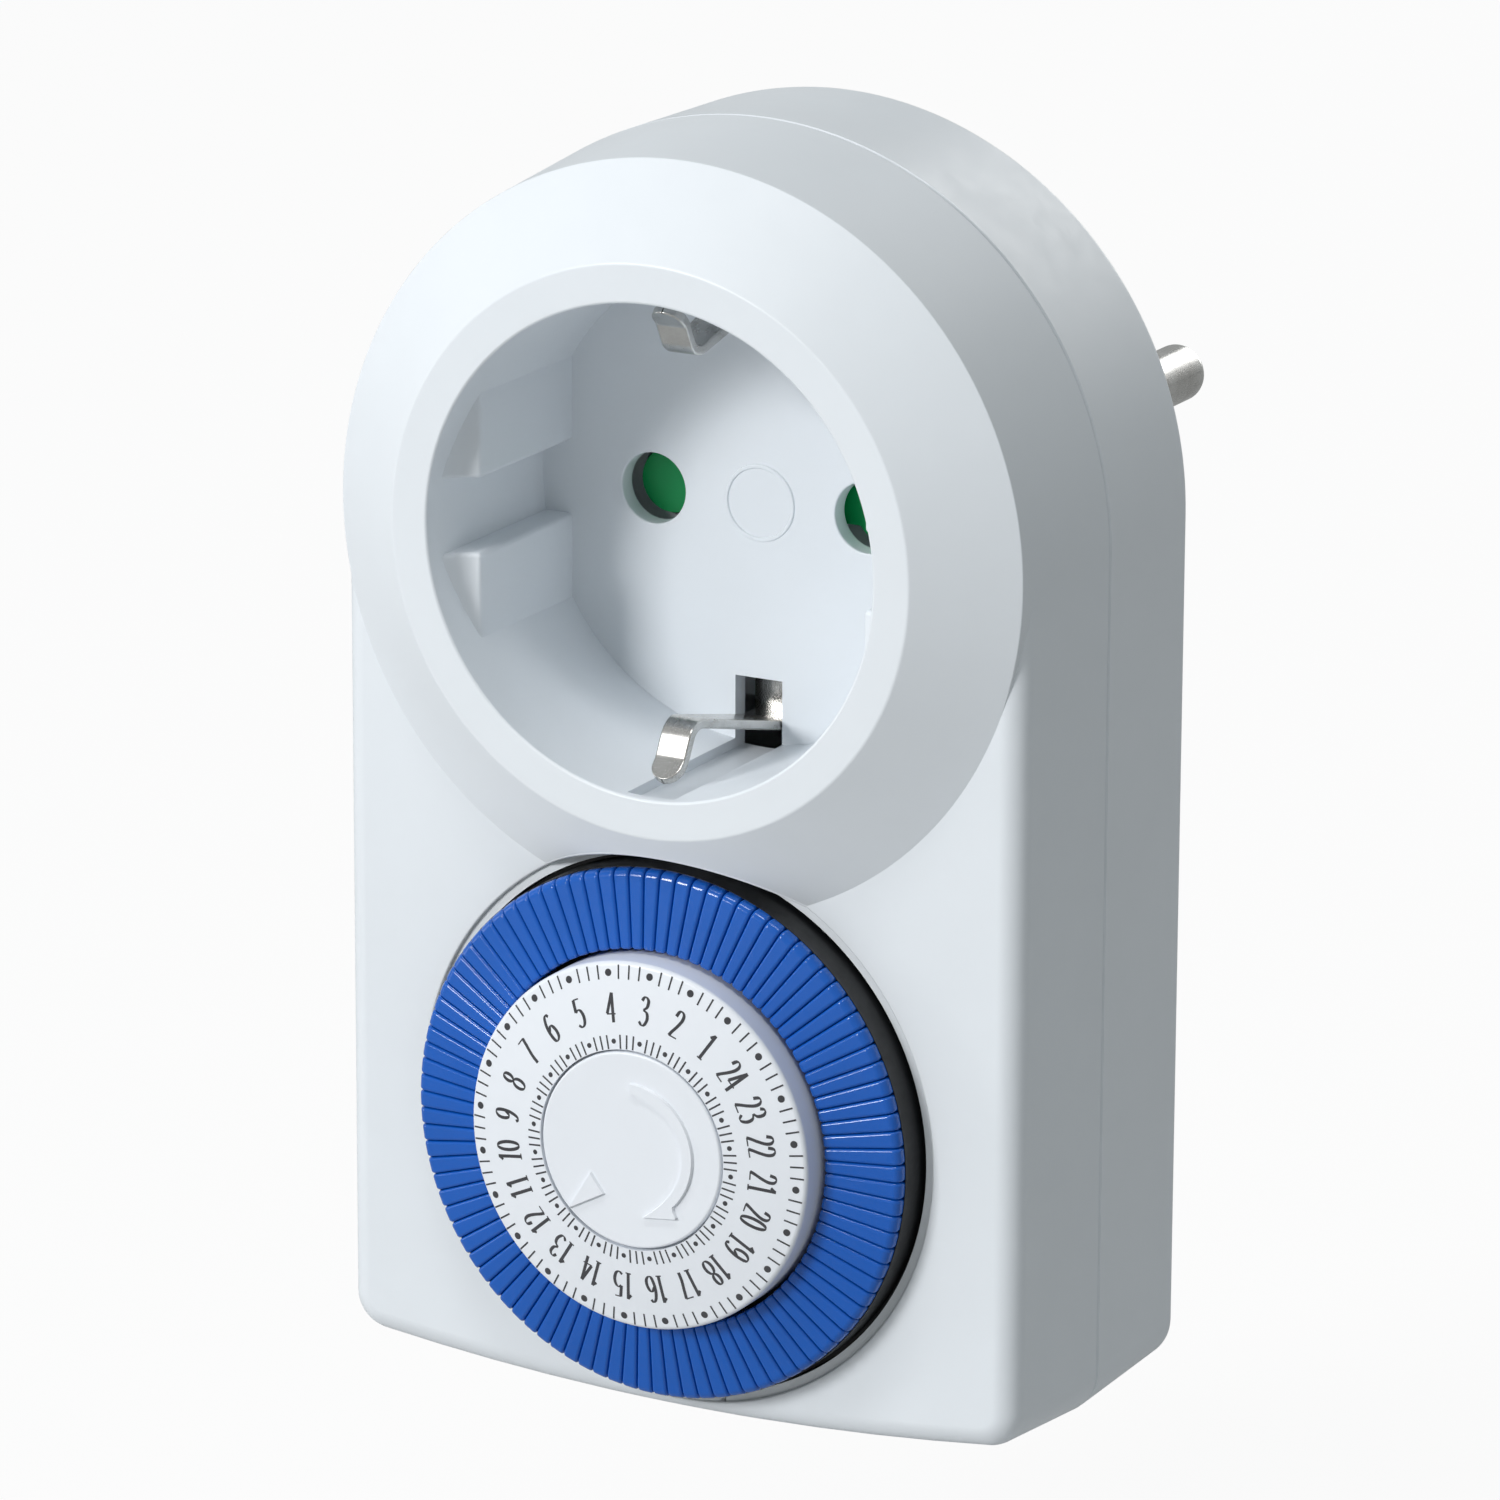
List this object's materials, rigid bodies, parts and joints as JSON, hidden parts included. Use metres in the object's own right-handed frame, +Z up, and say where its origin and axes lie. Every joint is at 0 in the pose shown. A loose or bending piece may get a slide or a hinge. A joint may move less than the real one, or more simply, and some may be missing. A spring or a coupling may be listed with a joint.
{
  "type": "plug-in timer switch",
  "caption": "Plug-in mechanical timer: an earthed socket above a daily dial ringed with push-in tappets, on a drafted two-part housing with an earthed round plug behind.",
  "frame": {"origin": "centre of the plug's face, where it meets the bottom of the wall socket", "axes": "+Z up the object from dial to socket, +Y into the wall along the plug's pins, +X to the right as seen from the front"},
  "size_m": [0.062, 0.0765, 0.1029],
  "materials": {
    "housing": "glossy off-white plastic",
    "nickel": "nickel-plated",
    "copper": "plain copper alloy",
    "steel": "zinc-plated",
    "brass": "turned",
    "blue": "glossy blue plastic",
    "white": "glossy white plastic",
    "green": "glossy green plastic",
    "black": "matt black plastic",
    "ivory": "natural acetal"
  },
  "bodies": {
    "case": {"front_housing": "housing", "rear_housing": "housing", "housing_screws": "steel", "plug_pin_left": "nickel", "plug_pin_right": "nickel", "plug_earth_strap": "nickel", "socket_earth_clip": "nickel", "socket_contact_left": "copper", "socket_contact_right": "copper", "neutral_busbar": "copper", "live_busbar": "copper", "switched_busbar": "copper", "contact_carrier": "white", "shutter_spring": "steel", "mechanism_plate": "black", "mechanism_screws": "steel", "hub_post": "brass", "hub_cap": "white", "gear_arbor": "steel", "motor": "steel", "switch_body": "black", "lever_pin": "steel"},
    "dial": {"dial_cap": "white", "dial_carrier": "black"},
    "reduction_gear": {"compound_gear": "ivory"},
    "motor_rotor": {"motor_pinion": "brass"},
    "shutter": {"shutter": "green"},
    "switch_lever": {"switch_lever": "ivory"},
    "switch_plunger": {"switch_plunger": "ivory"},
    "tappets_01": {"tappets_01": "blue"},
    "tappets_02": {"tappets_02": "blue"},
    "tappets_03": {"tappets_03": "blue"},
    "tappets_04": {"tappets_04": "blue"},
    "tappets_05": {"tappets_05": "blue"},
    "tappets_06": {"tappets_06": "blue"},
    "tappets_07": {"tappets_07": "blue"},
    "tappets_08": {"tappets_08": "blue"},
    "tappets_09": {"tappets_09": "blue"},
    "tappets_10": {"tappets_10": "blue"},
    "tappets_11": {"tappets_11": "blue"},
    "tappets_12": {"tappets_12": "blue"},
    "tappets_13": {"tappets_13": "blue"},
    "tappets_14": {"tappets_14": "blue"},
    "tappets_15": {"tappets_15": "blue"},
    "tappets_16": {"tappets_16": "blue"},
    "tappets_17": {"tappets_17": "blue"},
    "tappets_18": {"tappets_18": "blue"},
    "tappets_19": {"tappets_19": "blue"},
    "tappets_20": {"tappets_20": "blue"},
    "tappets_21": {"tappets_21": "blue"},
    "tappets_22": {"tappets_22": "blue"},
    "tappets_23": {"tappets_23": "blue"},
    "tappets_24": {"tappets_24": "blue"}
  },
  "joints": [
    {"name": "dial_spin", "type": "hinge", "parent": "case", "child": "dial", "pos_m": [0, -0.052, -0.0473], "axis": [0, 1, 0], "continuous": true},
    {"name": "reduction_gear_spin", "type": "hinge", "parent": "case", "child": "reduction_gear", "pos_m": [-0.01103, -0.041, -0.05656], "axis": [0, 1, 0], "continuous": true},
    {"name": "motor_rotor_spin", "type": "hinge", "parent": "case", "child": "motor_rotor", "pos_m": [-0.00653, -0.04, -0.04876], "axis": [0, 1, 0], "continuous": true},
    {"name": "shutter_turn", "type": "hinge", "parent": "case", "child": "shutter", "pos_m": [0, -0.0343, 0], "axis": [0, 1, 0], "range_deg": [0, 42], "stiffness_Nm_per_rad": 0.0005, "springref_deg": -17.19},
    {"name": "switch_lever_turn", "type": "hinge", "parent": "case", "child": "switch_lever", "pos_m": [0.01848, -0.0412, -0.05696], "axis": [1, 0, 0], "range_deg": [-11, 0]},
    {"name": "switch_plunger_press", "type": "slide", "parent": "case", "child": "switch_plunger", "axis": [0, 1, 0], "range_m": [0, 0.00115]},
    {"name": "tappets_01_press", "type": "slide", "parent": "dial", "child": "tappets_01", "axis": [0, 1, 0], "range_m": [0, 0.002]},
    {"name": "tappets_02_press", "type": "slide", "parent": "dial", "child": "tappets_02", "axis": [0, 1, 0], "range_m": [0, 0.002]},
    {"name": "tappets_03_press", "type": "slide", "parent": "dial", "child": "tappets_03", "axis": [0, 1, 0], "range_m": [0, 0.002]},
    {"name": "tappets_04_press", "type": "slide", "parent": "dial", "child": "tappets_04", "axis": [0, 1, 0], "range_m": [0, 0.002]},
    {"name": "tappets_05_press", "type": "slide", "parent": "dial", "child": "tappets_05", "axis": [0, 1, 0], "range_m": [0, 0.002]},
    {"name": "tappets_06_press", "type": "slide", "parent": "dial", "child": "tappets_06", "axis": [0, 1, 0], "range_m": [0, 0.002]},
    {"name": "tappets_07_press", "type": "slide", "parent": "dial", "child": "tappets_07", "axis": [0, 1, 0], "range_m": [0, 0.002]},
    {"name": "tappets_08_press", "type": "slide", "parent": "dial", "child": "tappets_08", "axis": [0, 1, 0], "range_m": [0, 0.002]},
    {"name": "tappets_09_press", "type": "slide", "parent": "dial", "child": "tappets_09", "axis": [0, 1, 0], "range_m": [0, 0.002]},
    {"name": "tappets_10_press", "type": "slide", "parent": "dial", "child": "tappets_10", "axis": [0, 1, 0], "range_m": [0, 0.002]},
    {"name": "tappets_11_press", "type": "slide", "parent": "dial", "child": "tappets_11", "axis": [0, 1, 0], "range_m": [0, 0.002]},
    {"name": "tappets_12_press", "type": "slide", "parent": "dial", "child": "tappets_12", "axis": [0, 1, 0], "range_m": [0, 0.002]},
    {"name": "tappets_13_press", "type": "slide", "parent": "dial", "child": "tappets_13", "axis": [0, 1, 0], "range_m": [0, 0.002]},
    {"name": "tappets_14_press", "type": "slide", "parent": "dial", "child": "tappets_14", "axis": [0, 1, 0], "range_m": [0, 0.002]},
    {"name": "tappets_15_press", "type": "slide", "parent": "dial", "child": "tappets_15", "axis": [0, 1, 0], "range_m": [0, 0.002]},
    {"name": "tappets_16_press", "type": "slide", "parent": "dial", "child": "tappets_16", "axis": [0, 1, 0], "range_m": [0, 0.002]},
    {"name": "tappets_17_press", "type": "slide", "parent": "dial", "child": "tappets_17", "axis": [0, 1, 0], "range_m": [0, 0.002]},
    {"name": "tappets_18_press", "type": "slide", "parent": "dial", "child": "tappets_18", "axis": [0, 1, 0], "range_m": [0, 0.002]},
    {"name": "tappets_19_press", "type": "slide", "parent": "dial", "child": "tappets_19", "axis": [0, 1, 0], "range_m": [0, 0.002]},
    {"name": "tappets_20_press", "type": "slide", "parent": "dial", "child": "tappets_20", "axis": [0, 1, 0], "range_m": [0, 0.002]},
    {"name": "tappets_21_press", "type": "slide", "parent": "dial", "child": "tappets_21", "axis": [0, 1, 0], "range_m": [0, 0.002]},
    {"name": "tappets_22_press", "type": "slide", "parent": "dial", "child": "tappets_22", "axis": [0, 1, 0], "range_m": [0, 0.002]},
    {"name": "tappets_23_press", "type": "slide", "parent": "dial", "child": "tappets_23", "axis": [0, 1, 0], "range_m": [0, 0.002]},
    {"name": "tappets_24_press", "type": "slide", "parent": "dial", "child": "tappets_24", "axis": [0, 1, 0], "range_m": [0, 0.002]}
  ],
  "couplings": [
    {"joint": "reduction_gear_spin", "follows": "dial_spin", "ratio": -5},
    {"joint": "motor_rotor_spin", "follows": "dial_spin", "ratio": 20},
    {"joint": "switch_lever_turn", "follows": "tappets_21_press", "rad_per_m": -95},
    {"joint": "switch_plunger_press", "follows": "tappets_21_press", "ratio": 0.566}
  ]
}
